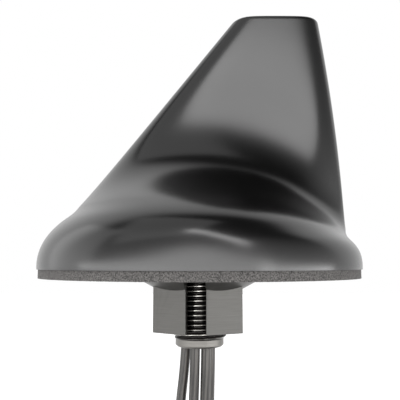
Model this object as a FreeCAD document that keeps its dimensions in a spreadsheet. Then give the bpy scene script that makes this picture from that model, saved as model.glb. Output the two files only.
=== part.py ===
import FreeCAD, Part
import math
import os

import Sketcher
from FreeCAD import Placement, Rotation, Vector

# Roof antenna with a fin-shaped cover, clamped through a hole in a vehicle's roof.
# Millimetres. The origin is the centre of the gasket's underside, which is the roof's surface.
# +Z points up, -X points to the vehicle's front, where the fin slopes.

doc = FreeCAD.newDocument("roof_antenna")
sheet = doc.addObject("Spreadsheet::Sheet", "sizes")

SIZES = [
    ("rim_radius", 45.9, "widest radius of the cover"),
    ("rim_height", 3.4, "height of the widest line"),
    ("dome_height", 24.4, "rise of the round foot above its widest line, at the ends"),
    ("fin_height", 78.2, "top of the fin"),
    ("fin_front", 10.6, "x of the fin's top front corner"),
    ("front_meet", 17.7, "height where the straight front edge meets the foot"),
    ("fin_back", 36.4, "x of the fin's top rear corner"),
    ("back_meet", 11.7, "height where the rear edge meets the foot"),
    ("back_bow", 1.0, "how far the rear edge bows out between its ends"),
    ("edge_blend", 5.0, "height over which the foot runs into an edge"),
    ("fin_half", 5.5, "half thickness of the fin at its top"),
    ("fin_draft", 0.02, "draft of each flank, per unit of height"),
    ("saddle_height", 23.4, "greatest height where the foot has narrowed half way to the fin"),
    ("saddle_x", -8.0, "x of that greatest height"),
    ("saddle_fall", 0.42, "share of that height lost at one rim radius from there"),
    ("saddle_sharpness", 4.6, "how sharply the foot turns into the hollow and the hollow into the fin"),
    ("end_softness", 0.23, "how softly a flank turns into the rounded front and rear"),
    ("top_round", 1.2, "rounding of the fin's top edge"),
    ("cover_wall", 2.5, "wall of the cover"),
    ("post_radius", 3.6, "radius of a screw post inside the cover"),
    ("post_circle", 32.0, "radius of the circle of screw posts"),
    ("post_top", 19.0, "height that the posts reach up into the foot"),
    ("gasket_thickness", 2.4, "foam gasket"),
    ("gasket_inset", 0.4, "gasket's edge inside the cover's"),
    ("gasket_bore", 21.0, "inner radius of the gasket"),
    ("fit_gap", 0.1, "clearance of a piece that drops into another"),
    ("base_gap", 0.4, "clearance of the base inside the cover's tapering wall"),
    ("base_thickness", 3.0, "plate of the cast base"),
    ("seal_width", 2.0, "width of the seal between base and cover"),
    ("seal_depth", 1.6, "depth of the step that holds the seal"),
    ("hub_radius", 19.5, "boss of the base that the nut bears on"),
    ("hub_recess", 0.4, "how far the foam stands proud of the boss"),
    ("standoff_radius", 3.0, "board standoff on the base"),
    ("standoff_height", 3.8, "height of the standoffs"),
    ("standoff_circle", 23.5, "radius of the circle of standoffs"),
    ("stud_radius", 7.9, "outside of the threaded stud"),
    ("stud_bore", 5.25, "cable bore of the stud"),
    ("stud_end", 19.5, "depth of the stud's lower end"),
    ("stud_tip_radius", 6.95, "plain tip below the thread"),
    ("stud_tip_length", 2.2, "length of the plain tip"),
    ("stud_tip_chamfer", 0.5, "chamfer at the end of the tip"),
    ("stud_flange_radius", 11.5, "flange of the stud on the base plate"),
    ("stud_flange_thickness", 2.0, "flange of the stud on the base plate"),
    ("nut_across_flats", 25.0, "hexagon of the clamp nut"),
    ("nut_turn", -4.4, "angle of the nut as tightened"),
    ("nut_bottom", 15.1, "depth of the nut's lower face"),
    ("nut_bore_gap", 0.05, "gap between nut and stud"),
    ("nut_slot", 5.6, "width of the cable slot through the nut's side"),
    ("flange_radius", 17.0, "rim of the nut's flange"),
    ("flange_rim", 0.9, "depth of the flange's straight rim"),
    ("flange_neck_radius", 12.0, "where the flange's cone runs into the hexagon"),
    ("flange_neck", 3.6, "depth where the cone runs into the hexagon"),
    ("screw_radius", 1.5, "shank of the cover and board screws"),
    ("screw_head_radius", 2.7, "head of the cover and board screws"),
    ("screw_head_height", 1.6, "head of the cover and board screws"),
    ("screw_length", 11.0, "shank of a cover screw"),
    ("board_thickness", 1.6, "both circuit boards"),
    ("board_radius", 27.8, "main circuit board"),
    ("fin_board_margin", 6.5, "fin board's edge inside the cover's outline"),
    ("fin_board_front", -8.0, "x of the fin board's front lower corner"),
    ("fin_board_back", 22.0, "x of the fin board's rear lower corner"),
    ("fin_board_neck", 13.0, "height of the fin board's lower stretch"),
    ("fin_board_shoulder", 33.0, "height where the fin board's front edge starts to lean back"),
    ("patch_width", 18.0, "square ceramic patch of the satellite receiver"),
    ("patch_height", 4.0, "ceramic patch"),
    ("patch_x", -17.0, "centre of the patch"),
    ("feed_radius", 0.5, "feed pin of the patch"),
    ("feed_head", 0.3, "soldered head of the feed pin"),
    ("shield_length", 14.0, "screening can"),
    ("shield_width", 9.0, "screening can"),
    ("shield_height", 3.0, "screening can"),
    ("shield_wall", 0.3, "screening can"),
    ("shield_x", 0.0, "centre of the screening can"),
    ("shield_y", -13.0, "centre of the screening can"),
    ("element_thickness", 0.6, "stamped radiators"),
    ("element_width", 9.0, "network radiators"),
    ("element_height", 8.0, "network radiators"),
    ("element_y", 11.0, "distance of a network radiator from the middle"),
    ("element_x", 8.0, "front edge of the network radiators"),
    ("rear_gap", 2.2, "rear radiator beside the fin board"),
    ("rear_width", 10.0, "rear radiator"),
    ("rear_height", 34.0, "rear radiator"),
    ("cable_radius", 1.4, "coaxial cable"),
    ("hank_top", 42.0, "depth of the upper end of the tied hank"),
    ("hank_length", 58.0, "length of the tied hank"),
    ("hank_margin", 0.4, "slack of the hank round its cables"),
    ("hank_depth", 19.0, "distance between the runs of the hank"),
    ("hank_layer", 12.8, "step from the first layer of the hank to the second"),
    ("hank_round", 8.0, "rounding of the hank's ends"),
    ("tie_height", 6.0, "strap round the hank"),
    ("tie_thickness", 1.0, "strap round the hank"),
    ("plug_drop", 19.0, "depth of the plugs' upper ends below the hank"),
    ("tail_straight", 7.0, "straight end of a cable above its sleeve"),
    ("plug_spacing", 10.4, "distance between the plugs"),
    ("boot_radius", 2.2, "shrink sleeve on a cable's end"),
    ("boot_length", 9.0, "shrink sleeve on a cable's end"),
    ("plug_body_radius", 2.9, "crimp body of a plug"),
    ("plug_body_length", 6.0, "crimp body of a plug"),
    ("plug_nut_across_flats", 8.0, "coupling nut of a plug"),
    ("plug_nut_length", 8.5, "coupling nut of a plug"),
    ("plug_socket_radius", 3.1, "mouth of a plug's coupling nut"),
    ("plug_socket_depth", 5.0, "mouth of a plug's coupling nut"),
    ("plug_pin_radius", 0.5, "centre pin of a plug"),
    ("plug_pin_length", 3.5, "centre pin of a plug"),
]
for row, (alias, value, note) in enumerate(SIZES, start=1):
    sheet.set(f"A{row}", note)
    sheet.set(f"B{row}", str(value))
    sheet.setAlias(f"B{row}", alias)
doc.recompute()
measured = {alias: float(sheet.get(alias)) for alias, _, _ in SIZES}
nodes = {}


def size(alias):
    return measured[alias]


def bound(expression):
    """Expression with the sheet's name in front of every alias."""
    words = sorted((alias for alias, _, _ in SIZES), key=len, reverse=True)
    text = expression
    for number, word in enumerate(words):
        text = text.replace(word, f"<{number}>")
    for number, word in enumerate(words):
        text = text.replace(f"<{number}>", f"sizes.{word}")
    return text


def value_of(expression):
    """Present value of an expression of sheet aliases."""
    probe = doc.getObject("probe") or doc.addObject("App::FeaturePython", "probe")
    if "number" not in probe.PropertiesList:
        probe.addProperty("App::PropertyFloat", "number")
    probe.setExpression("number", bound(expression))
    doc.recompute([probe])
    return probe.number


def origin_plane(body, role):
    return next(f for f in body.Origin.OriginFeatures if f.Role == role)


def outline_sketch(body, name, role, points):
    """Closed outline whose corners are bound to expressions of the sheet."""
    sketch = body.newObject("Sketcher::SketchObject", name)
    sketch.AttachmentSupport = [(origin_plane(body, role), "")]
    sketch.MapMode = "FlatFace"
    corners = [Vector(value_of(x), value_of(y), 0) for x, y in points]
    count = len(corners)
    for i in range(count):
        sketch.addGeometry(Part.LineSegment(corners[i], corners[(i + 1) % count]))
    for i in range(count):
        sketch.addConstraint(Sketcher.Constraint("Coincident", i, 2, (i + 1) % count, 1))
    for i, (x, y) in enumerate(points):
        for kind, expression, at in (("DistanceX", x, corners[i].x), ("DistanceY", y, corners[i].y)):
            index = sketch.addConstraint(Sketcher.Constraint(kind, -1, 1, i, 1, at))
            sketch.setExpression(f"Constraints[{index}]", bound(expression))
    return sketch


def lathe(label, profile):
    """Body turned about the vertical axis from an outline of (radius, height)."""
    body = doc.addObject("PartDesign::Body", label)
    sketch = outline_sketch(body, f"{label}_profile", "XZ_Plane", profile)
    turned = body.newObject("PartDesign::Revolution", f"{label}_turned")
    turned.Profile = sketch
    turned.ReferenceAxis = (sketch, ["V_Axis"])
    turned.Angle = 360.0
    return body


def plate(label, role, outline, thickness):
    """Body padded evenly to both sides of an origin plane."""
    body = doc.addObject("PartDesign::Body", label)
    sketch = outline_sketch(body, f"{label}_outline", role, outline)
    pad = body.newObject("PartDesign::Pad", f"{label}_pad")
    pad.Profile = sketch
    pad.SideType = "Symmetric"
    pad.setExpression("Length", bound(thickness))
    return body


def place(item, x="0", y="0", z="0"):
    for axis, expression in (("x", x), ("y", y), ("z", z)):
        item.setExpression(f"Placement.Base.{axis}", bound(expression))
    return item


def cylinder(label, radius, height, x="0", y="0", z="0"):
    item = doc.addObject("Part::Cylinder", label)
    item.setExpression("Radius", bound(radius))
    item.setExpression("Height", bound(height))
    return place(item, x, y, z)


def block(label, length, width, height, x, y, z):
    item = doc.addObject("Part::Box", label)
    item.setExpression("Length", bound(length))
    item.setExpression("Width", bound(width))
    item.setExpression("Height", bound(height))
    return place(item, x, y, z)


def joined(label, kind, shapes):
    item = doc.addObject(kind, label)
    if kind == "Part::Compound":
        item.Links = shapes
    else:
        item.Shapes = shapes
    return item


def cut(label, base, tools):
    item = doc.addObject("Part::Cut", label)
    item.Base = base
    item.Tool = tools[0] if len(tools) == 1 else joined(f"{label}_tools", "Part::MultiFuse", tools)
    return item


def fixed_shape(label, shape):
    item = doc.addObject("Part::Feature", label)
    item.Shape = shape
    return item


BASE_TOP = "(gasket_thickness + base_thickness)"
BOARD_FOOT = "(gasket_thickness + base_thickness + standoff_height)"
BOARD_TOP = "(gasket_thickness + base_thickness + standoff_height + board_thickness)"
BASE_RADIUS = "(rim_radius - cover_wall - base_gap)"
QUARTER = 4


def ring_place(circle, index, first_degrees):
    """Expressions of one of four places on a circle about the axis."""
    angle = first_degrees + index * 360 / QUARTER
    return f"{circle} * cos({angle} deg)", f"{circle} * sin({angle} deg)"


# Foam gasket: a soft ring that seals the foot against the roof.
nodes["foam_gasket"] = lathe(
    "foam_gasket",
    [
        ("gasket_bore", "0"),
        ("rim_radius - gasket_inset", "0"),
        ("rim_radius - gasket_inset", "gasket_thickness"),
        ("gasket_bore", "gasket_thickness"),
    ],
)

# Cover: one moulded shell, a round foot that flows through a hollow saddle into a raked fin.
# Every level is a rounded outline given by its front, its rear and its half width.
SECTION_POINTS = 24
FOOT_SECTIONS = 12
FIN_SECTIONS = 8
CROWN_STEPS = 4


def blend(level, low, high):
    share = min(max((level - low) / (high - low), 0.0), 1.0)
    return share * share * (3 - 2 * share)


def foot_radius(level):
    rise = (level - size("rim_height")) / size("dome_height")
    return size("rim_radius") * math.sqrt(max(1 - rise * rise, 0.0))


def edge_at(level, top, meet, bow):
    """Reach of a fin edge that runs from its top corner down to the foot at its meeting height."""
    share = (size("fin_height") - level) / (size("fin_height") - meet)
    edge = top + (foot_radius(meet) - top) * share + bow * 4 * share * (1 - share)
    foot = foot_radius(level)
    half_blend = size("edge_blend") / 2
    return foot + (edge - foot) * blend(level, meet - half_blend, meet + half_blend)


def front_at(level):
    return edge_at(level, -size("fin_front"), size("front_meet"), 0.0)


def back_at(level):
    return edge_at(level, size("fin_back"), size("back_meet"), size("back_bow"))


def half_at(level, x):
    """Half width of the cover at a level and a place along the vehicle."""
    flank = size("fin_half") + size("fin_draft") * (size("fin_height") - level)
    away = (x - size("saddle_x")) / size("rim_radius")
    waist = size("saddle_height") * (1 - size("saddle_fall") * away * away) - size("rim_height")
    climb = max(level - size("rim_height"), 0.0) / waist
    return flank + (size("rim_radius") - flank) / (1 + climb ** size("saddle_sharpness"))


def moved_in(extent, level, wall):
    """An extent of the cover at a level, less the wall measured square to the surface."""
    step = 0.5
    slope = (extent(level + step) - extent(level)) / step
    return extent(level) - wall * math.hypot(1, slope)


def cover_section(level, wall, inset=0.0):
    """Closed outline of the cover's outside at a level, or of its inside if there is a wall."""
    front = moved_in(front_at, level, wall) - inset
    back = moved_in(back_at, level, wall) - inset
    nose = moved_in(lambda at: half_at(at, 0.0), level, wall) - inset
    reach = (front + back) / 2
    middle = (back - front) / 2
    softness = size("end_softness")
    points = []
    for i in range(SECTION_POINTS):
        angle = 2 * math.pi * i / SECTION_POINTS
        turn = math.cos(angle)
        side = turn * math.sqrt((1 + softness**2) / (turn * turn + softness**2))
        x = middle + (reach - nose) * side + nose * turn
        half = moved_in(lambda at: half_at(at, x), level, wall) - inset
        points.append(Vector(x, half * math.sin(angle), level))
    curve = Part.BSplineCurve()
    curve.interpolate(points, PeriodicFlag=True)
    return Part.Wire(curve.toShape())


def cover_solid(bottom, top, wall):
    """Solid lofted through outlines that stand closer together in the foot than in the fin."""
    change = size("saddle_height") + size("rim_height")
    levels = [bottom + (change - bottom) * i / FOOT_SECTIONS for i in range(FOOT_SECTIONS)]
    levels += [change + (top - change) * i / (FIN_SECTIONS - 1) for i in range(FIN_SECTIONS)]
    return Part.makeLoft([cover_section(level, wall) for level in levels], True, False)


def rounded_top(foot, rounding):
    """Crown of the fin, whose sides turn in through a quarter round to the flat top."""
    turns = [i * math.pi / 2 / CROWN_STEPS for i in range(CROWN_STEPS + 1)]
    rings = [
        cover_section(foot + rounding * math.sin(turn), 0.0, rounding * (1 - math.cos(turn)))
        for turn in turns
    ]
    return Part.makeLoft(rings, True, False)


def post_places():
    circle = size("post_circle")
    corner = circle * math.cos(math.pi / QUARTER)
    return [(x, y) for x in (-corner, corner) for y in (-corner, corner)]


foot_level = size("gasket_thickness")
crown_foot = size("fin_height") - size("top_round")
outside = cover_solid(foot_level, crown_foot, 0.0)
outside = outside.fuse(rounded_top(crown_foot, size("top_round")))
inside = cover_solid(foot_level, size("fin_height") - size("cover_wall"), size("cover_wall"))
cover = outside.cut(inside)
post_foot = value_of(BASE_TOP)
for x, y in post_places():
    foot = Vector(x, y, post_foot)
    post = Part.makeCylinder(size("post_radius"), size("post_top") - post_foot, foot)
    cover = cover.fuse(post.common(outside))
for x, y in post_places():
    depth = size("screw_length") - size("base_thickness") + size("screw_head_height")
    pilot = Part.makeCylinder(size("screw_radius") + size("fit_gap"), depth, Vector(x, y, post_foot))
    cover = cover.cut(pilot)
nodes["radome"] = fixed_shape("radome", cover.removeSplitter())

# Base: a die-cast plate with a hub for the nut, a step for the seal, standoffs and screw holes.
base_turned = lathe(
    "base_turned",
    [
        ("stud_radius + fit_gap", "hub_recess"),
        ("hub_radius", "hub_recess"),
        ("hub_radius", "gasket_thickness"),
        (BASE_RADIUS, "gasket_thickness"),
        (BASE_RADIUS, f"{BASE_TOP} - seal_depth"),
        (f"{BASE_RADIUS} - seal_width", f"{BASE_TOP} - seal_depth"),
        (f"{BASE_RADIUS} - seal_width", BASE_TOP),
        ("stud_radius + fit_gap", BASE_TOP),
    ],
)
base_posts = []
base_holes = []
for i in range(QUARTER):
    x, y = ring_place("standoff_circle", i, 45)
    base_posts.append(cylinder(f"standoff_{i}", "standoff_radius", "standoff_height", x, y, BASE_TOP))
    base_holes.append(
        cylinder(
            f"standoff_hole_{i}", "screw_radius + fit_gap", "standoff_height", x, y, BASE_TOP
        )
    )
    x, y = ring_place("post_circle", i, 45)
    base_holes.append(
        cylinder(f"cover_hole_{i}", "screw_radius + fit_gap", "base_thickness", x, y, "gasket_thickness")
    )
    base_holes.append(
        cylinder(
            f"head_sink_{i}",
            "screw_head_radius + fit_gap",
            "screw_head_height",
            x,
            y,
            "gasket_thickness",
        )
    )
base_cast = joined("base_cast", "Part::MultiFuse", [base_turned] + base_posts)
nodes["base_plate"] = cut("base_plate", base_cast, base_holes)

# Seal: a square rubber ring in the base's step, pressed by the cover's inner wall.
nodes["radome_seal"] = lathe(
    "radome_seal",
    [
        (f"{BASE_RADIUS} - seal_width", f"{BASE_TOP} - seal_depth"),
        (BASE_RADIUS, f"{BASE_TOP} - seal_depth"),
        (BASE_RADIUS, BASE_TOP),
        (f"{BASE_RADIUS} - seal_width", BASE_TOP),
    ],
)

# Stud: a hollow threaded stud with a flange on the base plate and a plain tip.
TIP_TOP = "(stud_tip_length - stud_end)"
nodes["mounting_stud"] = lathe(
    "mounting_stud",
    [
        ("stud_bore", "-stud_end"),
        ("stud_tip_radius - stud_tip_chamfer", "-stud_end"),
        ("stud_tip_radius", "stud_tip_chamfer - stud_end"),
        ("stud_tip_radius", TIP_TOP),
        ("stud_radius", f"{TIP_TOP} + stud_radius - stud_tip_radius"),
        ("stud_radius", BASE_TOP),
        ("stud_flange_radius", BASE_TOP),
        ("stud_flange_radius", f"{BASE_TOP} + stud_flange_thickness"),
        ("stud_bore", f"{BASE_TOP} + stud_flange_thickness"),
    ],
)

# Clamp nut: a hexagon with a conical flange, slotted down one corner so that it slips over the cables.
NUT_CORNER = "nut_across_flats / (2 * cos(30 deg))"
nut_hexagon = doc.addObject("Part::Prism", "nut_hexagon")
nut_hexagon.Polygon = 6
nut_hexagon.setExpression("Circumradius", bound(NUT_CORNER))
nut_hexagon.setExpression("Height", bound("nut_bottom + hub_recess"))
place(nut_hexagon, z="-nut_bottom")
nut_flange = lathe(
    "nut_flange",
    [
        ("0", "hub_recess"),
        ("0", "-flange_neck"),
        ("flange_neck_radius", "-flange_neck"),
        ("flange_radius", "-flange_rim"),
        ("flange_radius", "hub_recess"),
    ],
)
nut_bore = cylinder(
    "nut_bore", "stud_radius + nut_bore_gap", "nut_bottom + hub_recess", z="-nut_bottom"
)
nut_slot = block(
    "nut_slot_tool",
    "flange_radius",
    "nut_slot",
    "nut_bottom + hub_recess",
    "0",
    "-nut_slot / 2",
    "-nut_bottom",
)
nut_whole = joined("nut_whole", "Part::MultiFuse", [nut_hexagon, nut_flange])
clamp_nut = cut("clamp_nut", nut_whole, [nut_bore, nut_slot])
clamp_nut.Placement = Placement(Vector(), Rotation(Vector(0, 0, 1), size("nut_turn") - 90))
nodes["clamp_nut"] = clamp_nut

# Screws: four from below into the cover's posts, four that hold the main board.
cover_screws = []
board_screws = []
for i in range(QUARTER):
    x, y = ring_place("post_circle", i, 45)
    head = cylinder(
        f"cover_head_{i}", "screw_head_radius", "screw_head_height", x, y, "gasket_thickness"
    )
    shank = cylinder(f"cover_shank_{i}", "screw_radius", "screw_length", x, y, "gasket_thickness")
    cover_screws.append(joined(f"cover_screw_{i}", "Part::MultiFuse", [head, shank]))
    x, y = ring_place("standoff_circle", i, 45)
    head = cylinder(f"board_head_{i}", "screw_head_radius", "screw_head_height", x, y, BOARD_TOP)
    shank = cylinder(
        f"board_shank_{i}",
        "screw_radius",
        "standoff_height + board_thickness + screw_head_height",
        x,
        y,
        BASE_TOP,
    )
    board_screws.append(joined(f"board_screw_{i}", "Part::MultiFuse", [head, shank]))
nodes["radome_screws"] = joined("radome_screws", "Part::Compound", cover_screws)
nodes["board_screws"] = joined("board_screws", "Part::Compound", board_screws)

# Main board: a round circuit board on the standoffs, with the cables soldered in from below.
board_disc = cylinder("board_disc", "board_radius", "board_thickness", z=BOARD_FOOT)
board_holes = []
for i in range(QUARTER):
    x, y = ring_place("standoff_circle", i, 45)
    board_holes.append(
        cylinder(f"board_hole_{i}", "screw_radius + fit_gap", "board_thickness", x, y, BOARD_FOOT)
    )
board_holes.append(
    cylinder("feed_hole", "feed_radius", "board_thickness", "patch_x", z=BOARD_FOOT)
)
nodes["main_board"] = cut("main_board", board_disc, board_holes)

# Fin board: an upright circuit board that carries the cellular radiator inside the fin.
FIN_BOARD_TOP = "(fin_height - cover_wall - fin_board_margin)"
FRONT_FOOT = "rim_radius * sqrt(1 - ((front_meet - rim_height) / dome_height)^2)"
FRONT_LEAN = f"(({FRONT_FOOT} + fin_front) / (fin_height - front_meet))"
FRONT_TOP = f"(fin_front + fin_board_margin - {FRONT_LEAN} * (cover_wall + fin_board_margin))"
FIN_FRONT_LOW = f"(fin_front + fin_board_margin - {FRONT_LEAN} * (fin_height - fin_board_shoulder))"
nodes["fin_board"] = plate(
    "fin_board",
    "XZ_Plane",
    [
        ("fin_board_front", BOARD_TOP),
        ("fin_board_back", BOARD_TOP),
        ("fin_board_back", f"{BOARD_TOP} + fin_board_neck / 2"),
        ("fin_back - fin_board_margin / 2", f"{BOARD_TOP} + fin_board_neck"),
        ("fin_back - fin_board_margin / 2", FIN_BOARD_TOP),
        (FRONT_TOP, FIN_BOARD_TOP),
        (FIN_FRONT_LOW, "fin_board_shoulder"),
        ("fin_board_front", f"{BOARD_TOP} + fin_board_neck"),
    ],
    "board_thickness",
)

# Rear radiator: a stamped strip beside the fin board, standing on the main board.
nodes["rear_element"] = block(
    "rear_element",
    "rear_width",
    "element_thickness",
    "rear_height",
    "fin_board_back - rear_width",
    "rear_gap",
    BOARD_TOP,
)

# Network radiators: two small stamped plates on the main board, one on each side.
for label, side in (("wlan_element_left", -1), ("wlan_element_right", 1)):
    nodes[label] = block(
        label,
        "element_width",
        "element_thickness",
        "element_height",
        "element_x",
        f"{side} * element_y - element_thickness / 2",
        BOARD_TOP,
    )

# Satellite patch: a square of ceramic with its feed pin, ahead of the fin board.
patch_block = block(
    "patch_block",
    "patch_width",
    "patch_width",
    "patch_height",
    "patch_x - patch_width / 2",
    "-patch_width / 2",
    BOARD_TOP,
)
patch_hole = cylinder("patch_hole", "feed_radius", "patch_height", "patch_x", z=BOARD_TOP)
nodes["gnss_patch"] = cut("gnss_patch", patch_block, [patch_hole])
nodes["gnss_feed_pin"] = cylinder(
    "gnss_feed_pin",
    "feed_radius",
    "board_thickness + patch_height + feed_head",
    "patch_x",
    z=BOARD_FOOT,
)

# Screening can: a thin drawn box over the receiver's amplifier.
can_outer = block(
    "can_outer",
    "shield_length",
    "shield_width",
    "shield_height",
    "shield_x - shield_length / 2",
    "shield_y - shield_width / 2",
    BOARD_TOP,
)
can_inner = block(
    "can_inner",
    "shield_length - 2 * shield_wall",
    "shield_width - 2 * shield_wall",
    "shield_height - shield_wall",
    "shield_x - shield_length / 2 + shield_wall",
    "shield_y - shield_width / 2 + shield_wall",
    BOARD_TOP,
)
nodes["lna_shield"] = cut("lna_shield", can_outer, [can_inner])

# Cables: four coaxial leads from the main board down the stud, folded into one tied hank.
# Each has its place in the bore, its place where the hank takes it in, and its plug.
LEADS = {
    "a": {"bore": (-3.3, 0.6), "hank": (-6.4, -0.4), "plug": (-0.5, 0.5)},
    "b": {"bore": (-1.1, -2.6), "hank": (-1.9, -2.6), "plug": (-0.5, -0.5)},
    "c": {"bore": (2.0, -2.4), "hank": (1.25, -2.5), "plug": (0.5, -0.5)},
    "d": {"bore": (3.3, 0.7), "hank": (2.6, 0.9), "plug": (0.5, 0.5)},
}
BORE_TURN = -17.5
radii = []


def corner_arc(before, corner, after):
    """Ends and middle of the largest tangent arc that the two runs allow."""
    back = before - corner
    ahead = after - corner
    reach = 0.45 * min(back.Length, ahead.Length)
    back.normalize()
    ahead.normalize()
    half_turn = (math.pi - back.getAngle(ahead)) / 2
    radius = reach / math.tan(half_turn)
    radii.append(round(radius, 1))
    inward = back + ahead
    inward.normalize()
    middle = corner + inward * (radius / math.cos(half_turn) - radius)
    return corner + back * reach, middle, corner + ahead * reach


def tube(points):
    """Cable along straight runs joined by tangent arcs."""
    edges = []
    start = points[0]
    for before, corner, after in zip(points, points[1:], points[2:]):
        first, middle, last = corner_arc(before, corner, after)
        edges.append(Part.LineSegment(start, first).toShape())
        edges.append(Part.Arc(first, middle, last).toShape())
        start = last
    edges.append(Part.LineSegment(start, points[-1]).toShape())
    path = Part.Wire(edges)
    circle = Part.Circle(points[0], points[1] - points[0], size("cable_radius"))
    section = Part.Wire(circle.toShape())
    solid = path.makePipeShell([section], True, False)
    expected = math.pi * size("cable_radius") ** 2 * path.Length
    print("cable volume", round(solid.Volume, 1), "section times length", round(expected, 1))
    return solid


thickness = size("cable_radius") + size("hank_margin")
hank_x = [place_xy["hank"][0] for place_xy in LEADS.values()]
hank_y = [place_xy["hank"][1] for place_xy in LEADS.values()]
hank_ceiling = -size("hank_top")
hank_floor = hank_ceiling - size("hank_length")
hank_low = Vector(min(hank_x) - thickness, min(hank_y) - thickness, hank_floor)
hank_high = Vector(
    max(hank_x) + size("hank_layer") + thickness,
    max(hank_y) + size("hank_depth") + thickness,
    hank_ceiling,
)
hank_middle = (hank_low + hank_high) / 2
hank = Part.makeBox(
    hank_high.x - hank_low.x, hank_high.y - hank_low.y, hank_high.z - hank_low.z, hank_low
)
far_edges = [edge for edge in hank.Edges if edge.CenterOfMass.y > hank_middle.y]
fold_edges = [edge for edge in far_edges if abs(edge.tangentAt(0).x) > abs(edge.tangentAt(0).z)]
hank = hank.makeFillet(size("hank_round"), fold_edges)
nodes["cable_hank"] = fixed_shape("cable_hank", hank)

tie_half = size("tie_height") / 2
around = Vector(size("tie_thickness"), size("tie_thickness"), 0)
strap_low = hank_low - around
strap_high = hank_high + around
strap = Part.makeBox(
    strap_high.x - strap_low.x,
    strap_high.y - strap_low.y,
    size("tie_height"),
    Vector(strap_low.x, strap_low.y, hank_middle.z - tie_half),
)
nodes["hank_tie"] = fixed_shape("hank_tie", strap.cut(hank))

plug_top = hank_floor - size("plug_drop")
boot_foot = plug_top - size("boot_length")
body_foot = boot_foot - size("plug_body_length")
nut_foot = body_foot - size("plug_nut_length")
plug_middle_x = sum(hank_x) / len(hank_x) + size("hank_layer")
plug_middle_y = sum(hank_y) / len(hank_y)


def upright(radius, foot, height, x, y):
    return Part.makeCylinder(radius, height, Vector(x, y, foot))


def plug_solid(x, y):
    """Screw plug: crimp body, hexagonal coupling nut with an open mouth, and the centre pin."""
    body = upright(size("plug_body_radius"), body_foot, size("plug_body_length"), x, y)
    corner = size("plug_nut_across_flats") / (2 * math.cos(math.pi / 6))
    corners = [
        Vector(x + corner * math.cos(i * math.pi / 3), y + corner * math.sin(i * math.pi / 3), nut_foot)
        for i in range(6)
    ]
    face = Part.Face(Part.makePolygon(corners + corners[:1]))
    nut = face.extrude(Vector(0, 0, size("plug_nut_length")))
    mouth = upright(size("plug_socket_radius"), nut_foot, size("plug_socket_depth"), x, y)
    pin_foot = nut_foot + size("plug_socket_depth") - size("plug_pin_length")
    pin = upright(size("plug_pin_radius"), pin_foot, size("plug_pin_length"), x, y)
    return body.fuse(nut).cut(mouth).fuse(pin).removeSplitter()


def boot_solid(x, y):
    sleeve = upright(size("boot_radius"), boot_foot, size("boot_length"), x, y)
    return sleeve.cut(upright(size("cable_radius"), boot_foot, size("boot_length"), x, y))


board_foot = value_of(BOARD_FOOT)
for letter, lead in LEADS.items():
    bore_x, bore_y = lead["bore"]
    hank_at_x, hank_at_y = lead["hank"]
    route = [
        Vector(bore_x, bore_y, board_foot),
        Vector(bore_x, bore_y, BORE_TURN),
        Vector(hank_at_x, hank_at_y, hank_ceiling - size("cable_radius")),
    ]
    nodes[f"lead_{letter}"] = fixed_shape(f"lead_{letter}", tube(route).cut(hank))
    plug_x = plug_middle_x + lead["plug"][0] * size("plug_spacing")
    plug_y = plug_middle_y + lead["plug"][1] * size("plug_spacing")
    tail_start = Vector(hank_at_x + size("hank_layer"), hank_at_y, hank_floor + size("cable_radius"))
    tail_turn = Vector(plug_x, plug_y, plug_top + size("tail_straight"))
    tail = [tail_start, tail_turn, Vector(plug_x, plug_y, boot_foot)]
    nodes[f"tail_{letter}"] = fixed_shape(f"tail_{letter}", tube(tail).cut(hank))
    nodes[f"plug_boot_{letter}"] = fixed_shape(f"plug_boot_{letter}", boot_solid(plug_x, plug_y))
    nodes[f"plug_{letter}"] = fixed_shape(f"plug_{letter}", plug_solid(plug_x, plug_y))
print("bend radii", radii)

doc.recompute()
for item in doc.Objects:
    if "Invalid" in item.State or "Error" in item.State:
        raise RuntimeError(f"{item.Name} failed: {item.State}")
os.makedirs("parts", exist_ok=True)
for label, item in nodes.items():
    if item.Shape.isNull() or not item.Shape.isValid():
        raise RuntimeError(f"{label} has no valid shape")
    item.Label = label
    item.Shape.exportStep(f"parts/{label}.step")
print(len(nodes), "pieces")
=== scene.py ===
import math

import bmesh
import bpy
from mathutils import Matrix, Quaternion, Vector


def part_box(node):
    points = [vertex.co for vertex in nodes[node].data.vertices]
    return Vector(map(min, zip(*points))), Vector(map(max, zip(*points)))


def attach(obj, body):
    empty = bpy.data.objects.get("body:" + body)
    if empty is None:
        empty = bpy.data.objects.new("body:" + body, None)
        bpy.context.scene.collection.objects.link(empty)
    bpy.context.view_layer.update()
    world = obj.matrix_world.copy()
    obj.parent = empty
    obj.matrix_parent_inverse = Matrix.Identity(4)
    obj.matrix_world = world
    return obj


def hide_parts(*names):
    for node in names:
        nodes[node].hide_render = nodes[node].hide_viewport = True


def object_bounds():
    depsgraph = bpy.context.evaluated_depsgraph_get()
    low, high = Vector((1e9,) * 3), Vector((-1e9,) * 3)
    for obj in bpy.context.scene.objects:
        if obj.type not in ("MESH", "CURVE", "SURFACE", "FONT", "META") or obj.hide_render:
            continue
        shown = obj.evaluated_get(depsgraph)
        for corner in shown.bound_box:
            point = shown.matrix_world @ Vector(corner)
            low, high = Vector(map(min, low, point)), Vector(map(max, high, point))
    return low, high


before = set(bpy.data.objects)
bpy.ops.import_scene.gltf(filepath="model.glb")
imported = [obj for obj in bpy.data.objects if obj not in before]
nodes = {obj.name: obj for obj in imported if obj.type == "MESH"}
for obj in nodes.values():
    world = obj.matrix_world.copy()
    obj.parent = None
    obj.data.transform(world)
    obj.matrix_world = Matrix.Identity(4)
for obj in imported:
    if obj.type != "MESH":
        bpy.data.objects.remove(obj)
cad_box = [list(corner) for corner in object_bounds()]
mm = 0.001

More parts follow.
